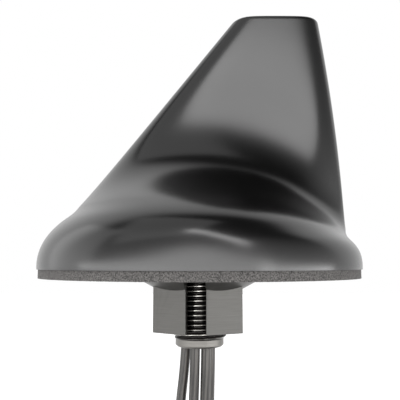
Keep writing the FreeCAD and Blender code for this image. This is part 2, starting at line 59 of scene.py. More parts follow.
# Base plate: the round zinc casting that everything is screwed to, with a hub round the stud,
# a step for the seal and four standoffs. It is used as it leaves the die, so its skin is dull.


def linear(code):
    """Linear colour with full alpha from an sRGB hex code."""
    parts = [int(code[i : i + 2], 16) / 255 for i in (1, 3, 5)]
    return [p / 12.92 if p <= 0.04045 else ((p + 0.055) / 1.055) ** 2.4 for p in parts] + [1.0]


def feed(tree, node, inputs):
    """Set a node's inputs to values, or link them to the sockets given."""
    for name, value in inputs.items():
        if isinstance(value, bpy.types.NodeSocket):
            tree.links.new(value, node.inputs[name])
        else:
            node.inputs[name].default_value = value
    return node


def add_node(tree, kind, inputs=None, **settings):
    """One node with its own settings, and its inputs set or linked."""
    node = tree.nodes.new(kind)
    for name, value in settings.items():
        setattr(node, name, value)
    return feed(tree, node, inputs or {})


def new_finish(name):
    """Material of that name, with its node tree, its shader and the piece's own coordinates."""
    material = bpy.data.materials.new(name)
    material.use_nodes = True
    tree = material.node_tree
    place = add_node(tree, "ShaderNodeTexCoord").outputs["Object"]
    return material, tree, tree.nodes["Principled BSDF"], place


def dress(node, material):
    """Give a CAD piece its finish."""
    node.data.materials.clear()
    node.data.materials.append(material)


# Die-cast zinc: a grey skin, slightly clouded where the melt flowed, with a fine matt grain.
CAST_CLOUD = 4 * mm
CAST_GRAIN = 0.25 * mm
cast_zinc, tree, shader, place = new_finish("die_cast_zinc")
cloud = add_node(tree, "ShaderNodeTexNoise", {"Vector": place, "Scale": 1 / CAST_CLOUD, "Detail": 4})
tint = add_node(tree, "ShaderNodeValToRGB", {"Fac": cloud.outputs["Fac"]})
tint.color_ramp.elements[0].color = linear("#8d8e8c")
tint.color_ramp.elements[1].color = linear("#b3b4b1")
grain = add_node(tree, "ShaderNodeTexNoise", {"Vector": place, "Scale": 1 / CAST_GRAIN})
rough = add_node(
    tree, "ShaderNodeBump", {"Height": grain.outputs["Fac"], "Strength": 0.25, "Distance": 0.02 * mm}
)
feed(tree, shader, {
    "Base Color": tint.outputs["Color"],
    "Metallic": 1.0,
    "Roughness": 0.48,
    "Normal": rough.outputs["Normal"],
})
dress(nodes["base_plate"], cast_zinc)

# Stud: a hollow steel screw that the base carries down through the roof, turned from bar with a
# fine thread cut along it, a flange on the base plate and a plain chamfered tip. It is zinc plated.
STUD_PITCH = 1.33 * mm
STUD_DEPTH = 0.8 * mm
STUD_AROUND = 128
STUD_PER_TURN = 14
STUD_FLANK = (0.06, 0.42)
# share of the thread's depth over which the painted shade of the roots turns into the painted highlight of
# the crests
STUD_SHADE_SHARE = 0.7
stud_low, stud_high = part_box("mounting_stud")
STUD_RADIUS = 7.9 * mm
STUD_BORE = 5.25 * mm
STUD_TIP = 6.95 * mm
STUD_TIP_LENGTH = 2.2 * mm
STUD_CHAMFER = 0.5 * mm
STUD_FLANGE_DEPTH = 2.0 * mm
STUD_RUNOUT = 1.0 * mm
thread_low = stud_low.z + STUD_TIP_LENGTH
thread_high = stud_high.z - STUD_FLANGE_DEPTH


def grow(name, group, values):
    """Plain mesh object that a geometry tree makes from the named values."""
    grown = bpy.data.objects.new(name, bpy.data.meshes.new(name))
    bpy.context.scene.collection.objects.link(grown)
    modifier = grown.modifiers.new(name, "NODES")
    modifier.node_group = group
    for socket in group.interface.items_tree:
        if socket.name in values:
            modifier[socket.identifier] = values[socket.name]
    bpy.context.view_layer.update()
    evaluated = grown.evaluated_get(bpy.context.evaluated_depsgraph_get())
    mesh = bpy.data.meshes.new_from_object(evaluated)
    grown.modifiers.clear()
    grown.data = mesh
    return grown


def new_geometry(name, inputs):
    """Geometry tree with named inputs, and the sockets that carry them."""
    group = bpy.data.node_groups.new(name, "GeometryNodeTree")
    for label, kind in inputs.items():
        group.interface.new_socket(label, in_out="INPUT", socket_type=f"NodeSocket{kind}")
    group.interface.new_socket("Geometry", in_out="OUTPUT", socket_type="NodeSocketGeometry")
    return group, add_node(group, "NodeGroupInput").outputs


def turned(profile, around, closed=True):
    """Mesh turned about the vertical axis from an outline of (radius, height)."""
    shape = bmesh.new()
    rings = []
    for radius, height in profile:
        angles = [2 * math.pi * i / around for i in range(around)]
        rings.append([shape.verts.new((radius * math.cos(a), radius * math.sin(a), height)) for a in angles])
    count = len(rings)
    for i in range(count if closed else count - 1):
        below, above = rings[i], rings[(i + 1) % count]
        for j in range(around):
            k = (j + 1) % around
            shape.faces.new((below[j], below[k], above[k], above[j]))
    return shape


WELD = 0.002 * mm


def finished(name, shape, material, smooth_angle=35):
    """Object made from a bmesh, its faces pointing out, shaded smooth up to an angle."""
    bmesh.ops.remove_doubles(shape, verts=shape.verts, dist=WELD)
    bmesh.ops.recalc_face_normals(shape, faces=shape.faces)
    mesh = bpy.data.meshes.new(name)
    shape.to_mesh(mesh)
    shape.free()
    mesh.materials.append(material)
    mesh.shade_smooth()
    mesh.set_sharp_from_angle(angle=math.radians(smooth_angle))
    piece = bpy.data.objects.new(name, mesh)
    bpy.context.scene.collection.objects.link(piece)
    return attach(piece, "root")


# Zinc plate over turned steel: fine tool rings run round the stud and blur its shine.
TOOL_RING = 0.16 * mm
TOOL_RUN = 25 * mm
stud_plate, tree, shader, place = new_finish("zinc_plated_turned_steel")
stretch = add_node(
    tree, "ShaderNodeMapping", {"Vector": place, "Scale": (1 / TOOL_RUN, 1 / TOOL_RUN, 1 / TOOL_RING)}
)
rings = add_node(tree, "ShaderNodeTexNoise", {"Vector": stretch.outputs["Vector"], "Scale": 1.0, "Detail": 3})
tint = add_node(tree, "ShaderNodeValToRGB", {"Fac": rings.outputs["Fac"]})
tint.color_ramp.elements[0].color = linear("#676562")
tint.color_ramp.elements[1].color = linear("#817f7b")
cut_rings = add_node(
    tree, "ShaderNodeBump", {"Height": rings.outputs["Fac"], "Strength": 0.2, "Distance": 0.01 * mm}
)
feed(tree, shader, {
    "Base Color": tint.outputs["Color"],
    "Metallic": 1.0,
    "Roughness": 0.36,
    "Normal": cut_rings.outputs["Normal"],
})

# Cut thread: bright steel, coloured by radius, with painted shade in its roots and a painted highlight along
# its crests.
thread_steel, tree, shader, place = new_finish("thread_painted_shade_and_highlight")
level = add_node(tree, "ShaderNodeVectorMath", {0: place, 1: (1, 1, 0)}, operation="MULTIPLY")
reach = add_node(tree, "ShaderNodeVectorMath", {0: level.outputs["Vector"]}, operation="LENGTH")
# painted light by radius: painted shade in the thread's roots, rising to a painted highlight on its crests
crest_light = add_node(tree, "ShaderNodeMapRange", {
    "Value": reach.outputs["Value"],
    "From Min": STUD_RADIUS - STUD_SHADE_SHARE * STUD_DEPTH,
    "From Max": STUD_RADIUS,
})
tint = add_node(tree, "ShaderNodeValToRGB", {"Fac": crest_light.outputs["Result"]})
tint.color_ramp.elements[0].color = linear("#343231")
tint.color_ramp.elements[1].color = linear("#a19e9a")
feed(tree, shader, {"Base Color": tint.outputs["Color"], "Metallic": 1.0, "Roughness": 0.18})

thread, wanted = new_geometry("stud_thread", {
    "Crest Radius": "Float",
    "Depth": "Float",
    "Pitch": "Float",
    "Bottom": "Float",
    "Length": "Float",
    "Runout": "Float",
    "Around": "Int",
    "Rings": "Int",
    "Material": "Material",
})
sheet = add_node(thread, "GeometryNodeMeshGrid", {
    "Size X": 1.0,
    "Size Y": 1.0,
    "Vertices X": wanted["Around"],
    "Vertices Y": wanted["Rings"],
})
grid_spot = add_node(thread, "GeometryNodeInputPosition").outputs["Position"]
flat = add_node(thread, "ShaderNodeSeparateXYZ", {0: grid_spot})
turn = add_node(
    thread, "ShaderNodeMath", {0: flat.outputs["X"], 1: 2 * math.pi}, operation="MULTIPLY"
).outputs[0]
rise = add_node(thread, "ShaderNodeMath", {0: flat.outputs["Y"], 1: 0.5}, operation="ADD").outputs[0]
along = add_node(thread, "ShaderNodeMath", {0: rise, 1: wanted["Length"]}, operation="MULTIPLY").outputs[0]
height = add_node(thread, "ShaderNodeMath", {0: along, 1: wanted["Bottom"]}, operation="ADD").outputs[0]
turns = add_node(thread, "ShaderNodeMath", {0: height, 1: wanted["Pitch"]}, operation="DIVIDE").outputs[0]
phase = add_node(thread, "ShaderNodeMath", {0: turns, 1: flat.outputs["X"]}, operation="SUBTRACT").outputs[0]
wave = add_node(thread, "ShaderNodeMath", {0: phase, 1: 0.5}, operation="PINGPONG").outputs[0]
ridge = add_node(thread, "ShaderNodeMapRange", {
    "Value": wave,
    "From Min": STUD_FLANK[0],
    "From Max": STUD_FLANK[1],
    "To Min": 0.0,
    "To Max": 1.0,
}).outputs["Result"]
left_over = add_node(
    thread, "ShaderNodeMath", {0: wanted["Length"], 1: along}, operation="SUBTRACT"
).outputs[0]
nearest = add_node(thread, "ShaderNodeMath", {0: along, 1: left_over}, operation="MINIMUM").outputs[0]
fade = add_node(thread, "ShaderNodeMapRange", {
    "Value": nearest,
    "From Min": 0.0,
    "From Max": wanted["Runout"],
    "To Min": 0.0,
    "To Max": 1.0,
}).outputs["Result"]
crest = add_node(thread, "ShaderNodeMath", {0: ridge, 1: fade}, operation="MULTIPLY").outputs[0]
root = add_node(
    thread, "ShaderNodeMath", {0: wanted["Crest Radius"], 1: wanted["Depth"]}, operation="SUBTRACT"
).outputs[0]
radius = add_node(
    thread, "ShaderNodeMath", {0: crest, 1: wanted["Depth"], 2: root}, operation="MULTIPLY_ADD"
).outputs[0]
ahead = add_node(thread, "ShaderNodeMath", {0: turn}, operation="COSINE").outputs[0]
aside = add_node(thread, "ShaderNodeMath", {0: turn}, operation="SINE").outputs[0]
spot = add_node(thread, "ShaderNodeCombineXYZ", {
    "X": add_node(thread, "ShaderNodeMath", {0: radius, 1: ahead}, operation="MULTIPLY").outputs[0],
    "Y": add_node(thread, "ShaderNodeMath", {0: radius, 1: aside}, operation="MULTIPLY").outputs[0],
    "Z": height,
})
wound = add_node(thread, "GeometryNodeSetPosition", {
    "Geometry": sheet.outputs["Mesh"],
    "Position": spot.outputs["Vector"],
})
sewn = add_node(thread, "GeometryNodeMergeByDistance", {
    "Geometry": wound.outputs["Geometry"],
    "Distance": 0.001 * mm,
})
single = add_node(thread, "GeometryNodeRealizeInstances", {"Geometry": sewn.outputs["Geometry"]})
coated = add_node(thread, "GeometryNodeSetMaterial", {
    "Geometry": single.outputs["Geometry"],
    "Material": wanted["Material"],
})
add_node(thread, "NodeGroupOutput", {"Geometry": coated.outputs["Geometry"]})
thread_length = thread_high - thread_low
thread_band = grow("thread_band", thread, {
    "Crest Radius": STUD_RADIUS,
    "Depth": STUD_DEPTH,
    "Pitch": STUD_PITCH,
    "Bottom": thread_low,
    "Length": thread_length,
    "Runout": STUD_RUNOUT,
    "Around": STUD_AROUND + 1,
    "Rings": round(thread_length / STUD_PITCH * STUD_PER_TURN),
    "Material": thread_steel,
})
stud_root = STUD_RADIUS - STUD_DEPTH
stud_shape = turned(
    [
        (stud_root, thread_high),
        (stud_high.x, thread_high),
        (stud_high.x, stud_high.z),
        (STUD_BORE, stud_high.z),
        (STUD_BORE, stud_low.z),
        (STUD_TIP - STUD_CHAMFER, stud_low.z),
        (STUD_TIP, stud_low.z + STUD_CHAMFER),
        (STUD_TIP, thread_low),
        (stud_root, thread_low),
    ],
    STUD_AROUND,
    closed=False,
)
bmesh.ops.rotate(stud_shape, verts=stud_shape.verts, matrix=Matrix.Rotation(math.pi, 3, "Z"))
plain_faces = len(stud_shape.faces)
stud_shape.from_mesh(thread_band.data)
for face in list(stud_shape.faces)[plain_faces:]:
    face.material_index = 1
bpy.data.objects.remove(thread_band)
stud = finished("threaded_stud", stud_shape, stud_plate)
stud.data.materials.append(thread_steel)
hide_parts("mounting_stud")

# Circuit boards: the round main board on the standoffs and the upright board in the fin, both
# glass laminate under a green solder mask, milled to shape.
LAMINATE_WEAVE = 0.5 * mm
TRACE_PITCH = 1.27 * mm
WAVE_BANDS = 10 / math.pi  # bands that a wave node draws per unit along an axis, half as many on a diagonal
board_green, tree, shader, place = new_finish("green_solder_mask")
weave = add_node(tree, "ShaderNodeTexWave", {"Vector": place, "Scale": 1 / (LAMINATE_WEAVE * WAVE_BANDS)})
copper = add_node(tree, "ShaderNodeTexBrick", {
    "Vector": place,
    "Scale": 1 / (TRACE_PITCH * 4),
    "Color1": linear("#0e4a24"),
    "Color2": linear("#115a2b"),
    "Mortar": linear("#2b7a45"),
    "Mortar Size": 0.03,
})
low_relief = add_node(
    tree, "ShaderNodeBump", {"Height": weave.outputs["Fac"], "Strength": 0.1, "Distance": 0.03 * mm}
)
feed(tree, shader, {
    "Base Color": copper.outputs["Color"],
    "Roughness": 0.28,
    "Normal": low_relief.outputs["Normal"],
})
for board in ("main_board", "fin_board"):
    dress(nodes[board], board_green)

# Radiators and screening can: thin strip, stamped and bent, tin plated so that it solders well. The
# mill's rolls leave faint streaks in it.
STRIP_GRAIN = 0.3 * mm
STRIP_RUN = 10 * mm
tin_plate, tree, shader, place = new_finish("tin_plated_strip")
rolled = add_node(
    tree, "ShaderNodeMapping", {"Vector": place, "Scale": (1 / STRIP_RUN, 1 / STRIP_RUN, 1 / STRIP_GRAIN)}
)
streak = add_node(tree, "ShaderNodeTexNoise", {"Vector": rolled.outputs["Vector"], "Scale": 1.0})
tint = add_node(tree, "ShaderNodeValToRGB", {"Fac": streak.outputs["Fac"]})
tint.color_ramp.elements[0].color = linear("#b9bab8")
tint.color_ramp.elements[1].color = linear("#d6d6d2")
feed(tree, shader, {"Base Color": tint.outputs["Color"], "Metallic": 1.0, "Roughness": 0.3})
for strip in ("rear_element", "wlan_element_left", "wlan_element_right", "lna_shield"):
    dress(nodes[strip], tin_plate)

# Satellite patch: a square of fired ceramic with a pin through it that is soldered to the board.
# The ceramic is pressed from powder, so it is chalky and speckled.
CERAMIC_SPECK = 0.4 * mm
ceramic, tree, shader, place = new_finish("fired_ceramic")
speck = add_node(tree, "ShaderNodeTexNoise", {"Vector": place, "Scale": 1 / CERAMIC_SPECK, "Detail": 6})
tint = add_node(tree, "ShaderNodeValToRGB", {"Fac": speck.outputs["Fac"]})
tint.color_ramp.elements[0].color = linear("#b59f83")
tint.color_ramp.elements[1].color = linear("#d0bda2")
feed(tree, shader, {"Base Color": tint.outputs["Color"], "Roughness": 0.62})
dress(nodes["gnss_patch"], ceramic)

# Brass: the feed pin and the plugs, turned from bar and flashed with gold, warm and bright. The tool's
# fine rings show through the gold.
BRASS_RING = 0.12 * mm
BRASS_RUN = 16.67 * mm
gold_brass, tree, shader, place = new_finish("gold_flashed_brass")
stretch = add_node(
    tree, "ShaderNodeMapping", {"Vector": place, "Scale": (1 / BRASS_RUN, 1 / BRASS_RUN, 1 / BRASS_RING)}
)
rings = add_node(tree, "ShaderNodeTexNoise", {"Vector": stretch.outputs["Vector"], "Scale": 1.0})
tint = add_node(tree, "ShaderNodeValToRGB", {"Fac": rings.outputs["Fac"]})
tint.color_ramp.elements[0].color = linear("#c69a4a")
tint.color_ramp.elements[1].color = linear("#e0bb70")
feed(tree, shader, {"Base Color": tint.outputs["Color"], "Metallic": 1.0, "Roughness": 0.25})
dress(nodes["gnss_feed_pin"], gold_brass)

# Seal: a square ring of silicone rubber in the base's step, moulded and left matt. A faint bloom clouds
# its black skin.
RUBBER_BLOOM = 2 * mm
seal_rubber, tree, shader, place = new_finish("moulded_silicone")
bloom = add_node(tree, "ShaderNodeTexNoise", {"Vector": place, "Scale": 1 / RUBBER_BLOOM, "Detail": 5})
tint = add_node(tree, "ShaderNodeValToRGB", {"Fac": bloom.outputs["Fac"]})
tint.color_ramp.elements[0].color = linear("#1b1b1b")
tint.color_ramp.elements[1].color = linear("#2b2b2a")
feed(tree, shader, {"Base Color": tint.outputs["Color"], "Roughness": 0.7})
dress(nodes["radome_seal"], seal_rubber)

# Screws: four from below into the cover's posts and four through the main board, pan heads of
# plated steel with a cross recess.
SCREW_BRUSH = 0.2 * mm
screw_plate, tree, shader, place = new_finish("nickel_plated_screw_steel")
brush = add_node(tree, "ShaderNodeTexNoise", {"Vector": place, "Scale": 1 / SCREW_BRUSH, "Detail": 3})
tint = add_node(tree, "ShaderNodeValToRGB", {"Fac": brush.outputs["Fac"]})
tint.color_ramp.elements[0].color = linear("#9d9d9c")
tint.color_ramp.elements[1].color = linear("#c3c3c1")
feed(tree, shader, {"Base Color": tint.outputs["Color"], "Metallic": 1.0, "Roughness": 0.3})
for screws in ("radome_screws", "board_screws"):
    dress(nodes[screws], screw_plate)

# Cover: one shell of black weatherproof plastic, moulded in a polished tool with a satin finish.
# A round foot flows through a hollow saddle into the raked fin, and four posts inside take screws.
RIM_RADIUS = 45.9 * mm
RIM_HEIGHT = 3.4 * mm
DOME_HEIGHT = 24.4 * mm
FIN_FRONT = 10.6 * mm
FRONT_MEET = 17.7 * mm
FIN_BACK = 36.4 * mm
BACK_MEET = 11.7 * mm
BACK_BOW = 1.0 * mm
EDGE_BLEND = 5 * mm
FIN_HALF = 5.5 * mm
FIN_DRAFT = 0.02
SADDLE_HEIGHT = 23.4 * mm
SADDLE_X = -8 * mm
SADDLE_FALL = 0.42
SADDLE_SHARPNESS = 4.6
END_SOFTNESS = 0.23
TOP_ROUND = 1.2 * mm
COVER_WALL = 2.5 * mm
COVER_AROUND = 256
COVER_LEVELS = 200
INNER_LEVELS = 50
CROWN_STEPS = 8
POST_RADIUS = 3.6 * mm
POST_HOLE = 1.6 * mm
POST_DEPTH = 9.6 * mm
POST_CIRCLE = 32 * mm
POST_AROUND = 32
POST_REACH = 1 * mm
POST_TOPS = (8 * mm, 26 * mm)
POST_LEVELS = 61
STANDOFF_HEIGHT = 3.8 * mm
fin_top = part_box("radome")[1].z
foot_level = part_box("radome")[0].z


def foot_radius(level):
    rise = (level - RIM_HEIGHT) / DOME_HEIGHT
    return RIM_RADIUS * math.sqrt(max(1 - rise * rise, 0.0))


def edge_at(level, top, meet, bow):
    """Reach of a fin edge that runs from its top corner down into the foot."""
    share = (fin_top - level) / (fin_top - meet)
    edge = top + (foot_radius(meet) - top) * share + bow * 4 * share * (1 - share)
    joined = min(max((level - meet) / EDGE_BLEND + 0.5, 0.0), 1.0)
    foot = foot_radius(level)
    return foot + (edge - foot) * joined * joined * (3 - 2 * joined)


def half_at(level, x):
    """Half width of the cover at a level and a place along the vehicle."""
    flank = FIN_HALF + FIN_DRAFT * (fin_top - level)
    away = (x - SADDLE_X) / RIM_RADIUS
    waist = SADDLE_HEIGHT * (1 - SADDLE_FALL * away * away) - RIM_HEIGHT
    climb = max(level - RIM_HEIGHT, 0.0) / waist
    return flank + (RIM_RADIUS - flank) / (1 + climb**SADDLE_SHARPNESS)


def moved_in(extent, level, wall):
    """An extent of the cover, less the wall measured square to the surface."""
    step = 0.5 * mm
    return extent(level) - wall * math.hypot(1, (extent(level + step) - extent(level)) / step)


def cover_ring(level, wall=0.0, inset=0.0):
    """Points of the cover's outline at a level, on its outside or moved in by the wall."""
    front = moved_in(lambda at: edge_at(at, -FIN_FRONT, FRONT_MEET, 0.0), level, wall) - inset
    back = moved_in(lambda at: edge_at(at, FIN_BACK, BACK_MEET, BACK_BOW), level, wall) - inset
    nose = moved_in(lambda at: half_at(at, 0.0), level, wall) - inset
    reach, middle = (front + back) / 2, (back - front) / 2
    points = []
    for i in range(COVER_AROUND):
        angle = 2 * math.pi * i / COVER_AROUND
        bow = math.cos(angle)
        side = bow * math.sqrt((1 + END_SOFTNESS**2) / (bow * bow + END_SOFTNESS**2))
        x = middle + (reach - nose) * side + nose * bow
        half = moved_in(lambda at: half_at(at, x), level, wall) - inset
        points.append((x, half * math.sin(angle), level))
    return points


def skin(shape, rings):
    """Faces between rings of points, closed at the last ring; gives the first ring's points."""
    verts = [[shape.verts.new(point) for point in ring] for ring in rings]
    for below, above in zip(verts, verts[1:]):
        for j in range(COVER_AROUND):
            k = (j + 1) % COVER_AROUND
            shape.faces.new((below[j], below[k], above[k], above[j]))
    shape.faces.new(verts[-1])
    return verts[0]


def steps(low, high, count):
    return [low + (high - low) * i / (count - 1) for i in range(count)]


crown_foot = fin_top - TOP_ROUND
outer = [cover_ring(level) for level in steps(foot_level, crown_foot, COVER_LEVELS)]
for i in range(1, CROWN_STEPS + 1):
    lean = i * math.pi / 2 / CROWN_STEPS
    outer.append(cover_ring(crown_foot + TOP_ROUND * math.sin(lean), inset=TOP_ROUND * (1 - math.cos(lean))))
inner_levels = steps(foot_level, fin_top - COVER_WALL, INNER_LEVELS)
inner = [cover_ring(level, COVER_WALL) for level in inner_levels]
cover_shape = bmesh.new()
outer_foot = skin(cover_shape, outer)
inner_foot = skin(cover_shape, inner)
for j in range(COVER_AROUND):
    k = (j + 1) % COVER_AROUND
    cover_shape.faces.new((outer_foot[k], outer_foot[j], inner_foot[j], inner_foot[k]))
ceiling = [cover_ring(level, COVER_WALL / 2) for level in steps(*POST_TOPS, POST_LEVELS)]


def ceiling_at(x, y):
    """Height at which the cover's wall closes over a place inside its foot."""
    for ring in ceiling:
        if abs(y) > max(point[1] for point in ring if abs(point[0] - x) < POST_REACH):
            return ring[0][2]
    return POST_TOPS[1]


post_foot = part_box("base_plate")[1].z - STANDOFF_HEIGHT
turns = [2 * math.pi * i / POST_AROUND for i in range(POST_AROUND)]
for corner in range(4):
    bearing = math.pi / 4 + corner * math.pi / 2
    post_x, post_y = POST_CIRCLE * math.cos(bearing), POST_CIRCLE * math.sin(bearing)
    rims = []
    for radius in (POST_HOLE, POST_RADIUS):
        rims.append([(post_x + radius * math.cos(turn), post_y + radius * math.sin(turn)) for turn in turns])
    hole, wall = rims
    rings = [
        [(x, y, post_foot + POST_DEPTH) for x, y in hole],
        [(x, y, post_foot) for x, y in hole],
        [(x, y, post_foot) for x, y in wall],
        [(x, y, ceiling_at(x, y)) for x, y in wall],
    ]
    verts = [[cover_shape.verts.new(point) for point in ring] for ring in rings]
    for below, above in zip(verts, verts[1:]):
        for j in range(POST_AROUND):
            k = (j + 1) % POST_AROUND
            cover_shape.faces.new((below[j], below[k], above[k], above[j]))
    cover_shape.faces.new(verts[0])
    cover_shape.faces.new(verts[-1])

# Black moulded plastic: almost no colour of its own, so what shows is its satin shine. The tool's
# fine spark grain spreads the shine a little, unevenly.
COVER_GRAIN = 0.15 * mm
COVER_CLOUD = 14 * mm
black_plastic, tree, shader, place = new_finish("black_moulded_plastic")
cloud = add_node(tree, "ShaderNodeTexNoise", {"Vector": place, "Scale": 1 / COVER_CLOUD, "Detail": 3})
tint = add_node(tree, "ShaderNodeValToRGB", {"Fac": cloud.outputs["Fac"]})
tint.color_ramp.elements[0].color = linear("#030303")
tint.color_ramp.elements[1].color = linear("#060606")
sheen = add_node(tree, "ShaderNodeMapRange", {"Value": cloud.outputs["Fac"], "To Min": 0.21, "To Max": 0.24})
grain = add_node(tree, "ShaderNodeTexNoise", {"Vector": place, "Scale": 1 / COVER_GRAIN, "Detail": 2})
spark = add_node(
    tree, "ShaderNodeBump", {"Height": grain.outputs["Fac"], "Strength": 0.05, "Distance": 0.01 * mm}
)
feed(tree, shader, {
    "Base Color": tint.outputs["Color"],
    "Roughness": sheen.outputs["Result"],
    "IOR": 1.58,
    "Specular IOR Level": 0.62,
    "Normal": spark.outputs["Normal"],
})
cover = finished("fin_cover", cover_shape, black_plastic, smooth_angle=50)
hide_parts("radome")

# Gasket: a ring of closed-cell foam stuck under the foot, die-cut from sheet. Its cut edge shows
# the open cells as a grain of light and dark specks.
gasket_low, gasket_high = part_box("foam_gasket")
GASKET_BORE = 21 * mm
FOAM_CELL = 0.32 * mm
FOAM_DEPTH = 0.12 * mm
FOAM_STEPS = 1.5
GASKET_STEP = 2 * mm
GASKET_AROUND = 1024
foam_grey, tree, shader, place = new_finish("closed_cell_foam")
cells = add_node(tree, "ShaderNodeTexVoronoi", {"Vector": place, "Scale": 1 / FOAM_CELL})
specks = add_node(tree, "ShaderNodeTexNoise", {"Vector": place, "Scale": 1 / FOAM_CELL, "Detail": 2})
tint = add_node(tree, "ShaderNodeValToRGB", {"Fac": specks.outputs["Fac"]})
tint.color_ramp.elements[0].position = 0.3
tint.color_ramp.elements[0].color = linear("#2d2c2b")
tint.color_ramp.elements[1].position = 0.72
tint.color_ramp.elements[1].color = linear("#868381")
pits = add_node(
    tree, "ShaderNodeBump", {"Height": cells.outputs["Distance"], "Strength": 0.7, "Distance": 0.1 * mm}
)
feed(tree, shader, {
    "Base Color": tint.outputs["Color"],
    "Roughness": 0.75,
    "Normal": pits.outputs["Normal"],
})
foam, wanted = new_geometry("cut_foam", {
    "Ring": "Object",
    "Cell": "Float",
    "Depth": "Float",
    "Material": "Material",
})
ring = add_node(foam, "GeometryNodeObjectInfo", {"Object": wanted["Ring"]})
lump = add_node(foam, "ShaderNodeTexNoise", {
    "Vector": add_node(foam, "GeometryNodeInputPosition").outputs[0],
    "Scale": add_node(foam, "ShaderNodeMath", {0: 1.0, 1: wanted["Cell"]}, operation="DIVIDE").outputs[0],
})
sink = add_node(
    foam, "ShaderNodeMath", {0: lump.outputs["Fac"], 1: wanted["Depth"]}, operation="MULTIPLY"
).outputs[0]
inward = add_node(foam, "ShaderNodeVectorMath", {
    0: add_node(foam, "GeometryNodeInputNormal").outputs["Normal"],
    "Scale": add_node(foam, "ShaderNodeMath", {0: sink, 1: -1.0}, operation="MULTIPLY").outputs[0],
}, operation="SCALE")
pitted = add_node(foam, "GeometryNodeSetPosition", {
    "Geometry": ring.outputs["Geometry"],
    "Offset": inward.outputs["Vector"],
})
single = add_node(foam, "GeometryNodeRealizeInstances", {"Geometry": pitted.outputs["Geometry"]})
coated = add_node(foam, "GeometryNodeSetMaterial", {
    "Geometry": single.outputs["Geometry"],
    "Material": wanted["Material"],
})
add_node(foam, "NodeGroupOutput", {"Geometry": coated.outputs["Geometry"]})
edge_steps = round((gasket_high.z - gasket_low.z) / FOAM_CELL * FOAM_STEPS)
face_steps = round((gasket_high.x - GASKET_BORE) / GASKET_STEP)
gasket_profile = [(gasket_high.x, z) for z in steps(gasket_low.z, gasket_high.z, edge_steps)]
gasket_profile += [(r, gasket_high.z) for r in steps(gasket_high.x, GASKET_BORE, face_steps)[1:]]
gasket_profile += [(r, gasket_low.z) for r in steps(GASKET_BORE, gasket_high.x, face_steps)[:-1]]
blank = finished("gasket_blank", turned(gasket_profile, GASKET_AROUND), foam_grey)
gasket = grow("gasket_ring", foam, {
    "Ring": blank,
    "Cell": FOAM_CELL,
    "Depth": FOAM_DEPTH,
    "Material": foam_grey,
})
bpy.data.objects.remove(blank)
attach(gasket, "root")
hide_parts("foam_gasket")

# Clamp nut: a hexagon with a conical flange that bears on the roof's underside, machined from
# bar and plated, with one corner slotted so that it slips over the leads. Its edges are broken.
NUT_EDGE = 0.3 * mm
MACHINED = 0.2 * mm
MACHINED_RUN = 6.67 * mm
nut_plate, tree, shader, place = new_finish("satin_plated_steel")
stretch = add_node(
    tree, "ShaderNodeMapping", {"Vector": place, "Scale": (1 / MACHINED_RUN, 1 / MACHINED_RUN, 1 / MACHINED)}
)
brushed = add_node(
    tree, "ShaderNodeTexNoise", {"Vector": stretch.outputs["Vector"], "Scale": 1.0, "Detail": 3}
)
tint = add_node(tree, "ShaderNodeValToRGB", {"Fac": brushed.outputs["Fac"]})
tint.color_ramp.elements[0].color = linear("#555452")
tint.color_ramp.elements[1].color = linear("#656462")
strokes = add_node(
    tree, "ShaderNodeBump", {"Height": brushed.outputs["Fac"], "Strength": 0.15, "Distance": 0.02 * mm}
)
feed(tree, shader, {
    "Base Color": tint.outputs["Color"],
    "Metallic": 1.0,
    "Roughness": 0.42,
    "Normal": strokes.outputs["Normal"],
})


def edged(name, node, material, edge):
    """Copy of a CAD piece with its sharp edges rounded."""
    shape = bmesh.new()
    shape.from_mesh(nodes[node].data)
    bmesh.ops.remove_doubles(shape, verts=shape.verts, dist=WELD)
    bmesh.ops.dissolve_limit(
        shape, angle_limit=math.radians(1), verts=shape.verts, edges=shape.edges
    )
    piece = finished(name, shape, material, smooth_angle=30)
    bevel = piece.modifiers.new("broken_edge", "BEVEL")
    bevel.width = edge
    bevel.segments = 3
    bevel.limit_method = "ANGLE"
    bevel.angle_limit = math.radians(30)
    bevel.harden_normals = True
    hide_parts(node)
    return piece


nut = edged("slotted_nut", "clamp_nut", nut_plate, NUT_EDGE)

# Leads: four coaxial cables in smooth dark jackets, soldered to the main board. They come out of
# the stud in a bundle, are folded to and fro into a hank below it, and each ends in a screw plug.
CABLE_RADIUS = 1.4 * mm
HANK_STEP = 12.8 * mm
HANK_FIRST = -6.6 * mm
HANK_COLUMN = 3.2 * mm
HANK_FRONT = -2.7 * mm
HANK_BACK = 20.2 * mm
BORE_TURN = -17.5 * mm
TAIL_TURN = -112 * mm
LEADS = {
    "a": {"bore": (-3.3, 0.6), "hank": (-6.4, -0.4)},
    "b": {"bore": (-1.1, -2.6), "hank": (-1.9, -2.6)},
    "c": {"bore": (2.0, -2.4), "hank": (1.25, -2.5)},
    "d": {"bore": (3.3, 0.7), "hank": (2.6, 0.9)},
}
LEAD_LENGTH = 0.275
hank_low, hank_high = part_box("cable_hank")
hank_top = hank_high.z - CABLE_RADIUS
hank_foot = hank_low.z + CABLE_RADIUS
hank_middle = (hank_top + hank_foot) / 2


def fold(x, near, far, end, inward):
    """Four points that turn a cable round at one end of the hank."""
    corner = abs(far - near) / 2 * (1 - math.tan(math.pi / 8))
    across = math.copysign(corner, far - near)
    return [
        (x, near, end + inward * corner),
        (x, near + across, end),
        (x, far - across, end),
        (x, far, end + inward * corner),
    ]
